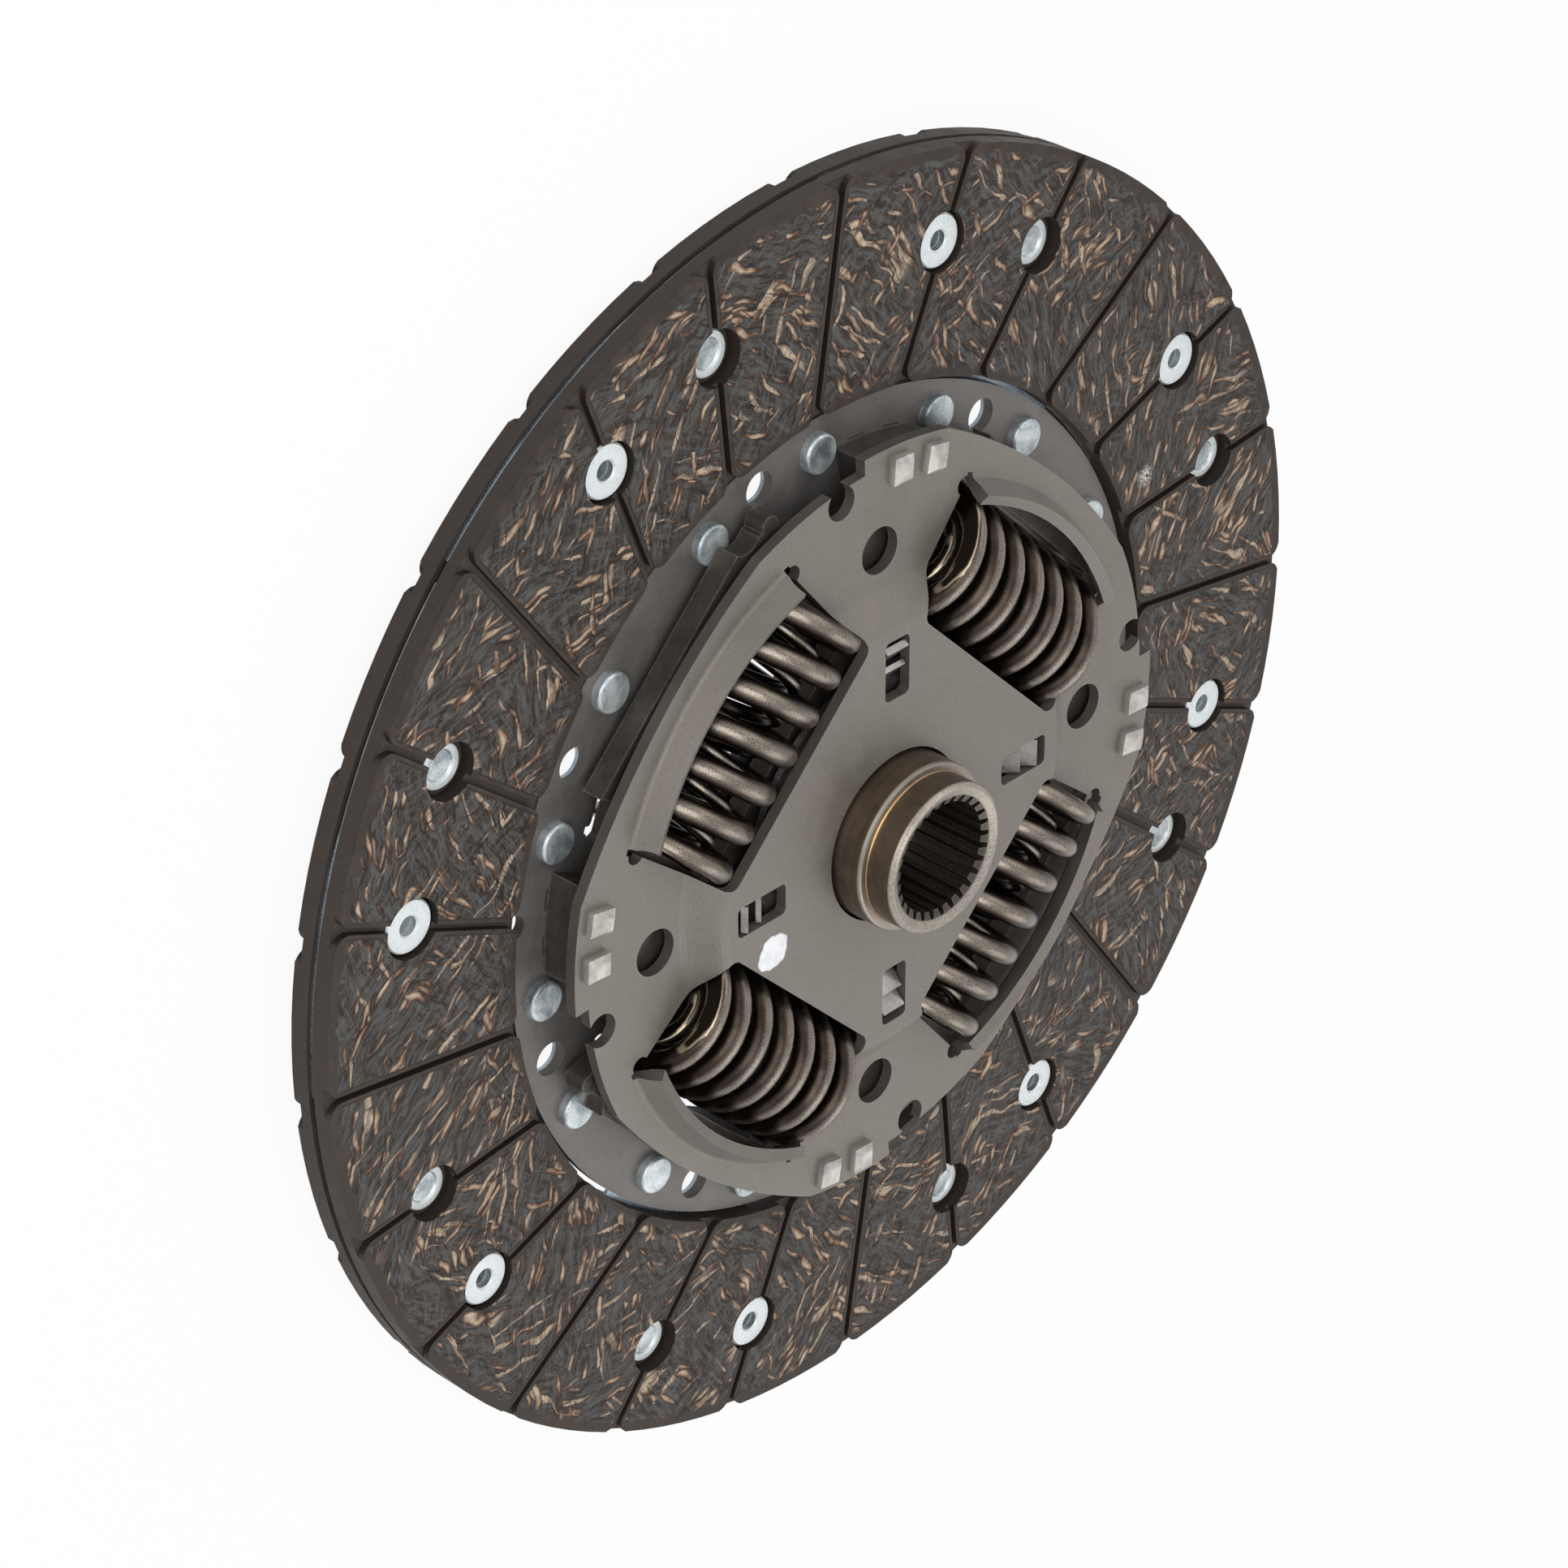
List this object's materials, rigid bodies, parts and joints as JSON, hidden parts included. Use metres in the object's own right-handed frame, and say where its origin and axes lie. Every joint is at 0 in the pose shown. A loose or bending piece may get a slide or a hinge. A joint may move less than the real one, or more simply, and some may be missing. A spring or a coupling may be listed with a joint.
{
  "type": "clutch disc",
  "caption": "Clutch disc: splined hub inside a spring damper, dished cover plate, grooved friction facings riveted to cushion segments",
  "frame": {"origin": "on the axis, at the rear end face of the hub, where the disc lies", "axes": "+Z is the axis of rotation and points to the gearbox side; +X points at the middle of the first stop plate's tooling hole; +Y follows counter-clockwise as seen from the gearbox side"},
  "size_m": [0.228, 0.228, 0.0338],
  "materials": {
    "friction_lining": "matt woven fibre and resin, dark grey-brown with tan strands",
    "spring_steel_sheet": "bare spring steel sheet, satin",
    "zinc_rivet": "zinc plated, bluish white, smooth",
    "sheet_steel": "satin grey sheet steel, lightly oiled",
    "stop_steel": "dark phosphated steel",
    "hub_steel": "turned steel with a brown-bronze tint",
    "flange_steel": "dark hardened steel, fine grain",
    "spring_wire": "burnished bronze-brown spring wire",
    "friction_ring": "dark moulded friction composite, matt",
    "bush_bronze": "sintered bronze, matt"
  },
  "bodies": {
    "disc": {"front_facing": "friction_lining", "rear_facing": "friction_lining", "cushion_segment_1": "spring_steel_sheet", "cushion_segment_2": "spring_steel_sheet", "cushion_segment_3": "spring_steel_sheet", "cushion_segment_4": "spring_steel_sheet", "cushion_segment_5": "spring_steel_sheet", "cushion_segment_6": "spring_steel_sheet", "cushion_segment_7": "spring_steel_sheet", "cushion_segment_8": "spring_steel_sheet", "front_facing_rivets": "zinc_rivet", "rear_facing_rivets": "zinc_rivet", "segment_rivets": "zinc_rivet", "drive_plate": "sheet_steel", "cover_plate": "sheet_steel", "stop_plate_1": "stop_steel", "stop_plate_2": "stop_steel", "stop_plate_3": "stop_steel", "stop_plate_4": "stop_steel", "front_friction_ring": "friction_ring", "pressure_plate": "spring_steel_sheet", "disc_spring": "spring_steel_sheet", "rear_friction_ring": "friction_ring", "guide_bush": "bush_bronze"},
    "hub": {"hub": "hub_steel", "hub_flange": "flange_steel"},
    "springs": {"outer_spring_1": "spring_wire", "outer_spring_2": "spring_wire", "outer_spring_3": "spring_wire", "outer_spring_4": "spring_wire", "inner_spring_1": "spring_wire", "inner_spring_2": "spring_wire", "inner_spring_3": "spring_wire", "inner_spring_4": "spring_wire"}
  },
  "joints": [
    {"name": "hub_turn", "type": "hinge", "parent": "disc", "child": "hub", "pos_m": [0, 0, 0], "axis": [0, 0, 1], "range_deg": [-16, 6.5], "stiffness_Nm_per_rad": 20},
    {"name": "spring_follow", "type": "hinge", "parent": "disc", "child": "springs", "pos_m": [0, 0, 0], "axis": [0, 0, 1], "range_deg": [-8.5, 3.5], "deforming": ["outer_spring_1", "outer_spring_2", "outer_spring_3", "outer_spring_4", "inner_spring_1", "inner_spring_2", "inner_spring_3", "inner_spring_4"]}
  ],
  "couplings": [
    {"joint": "spring_follow", "follows": "hub_turn", "ratio": 0.5}
  ]
}
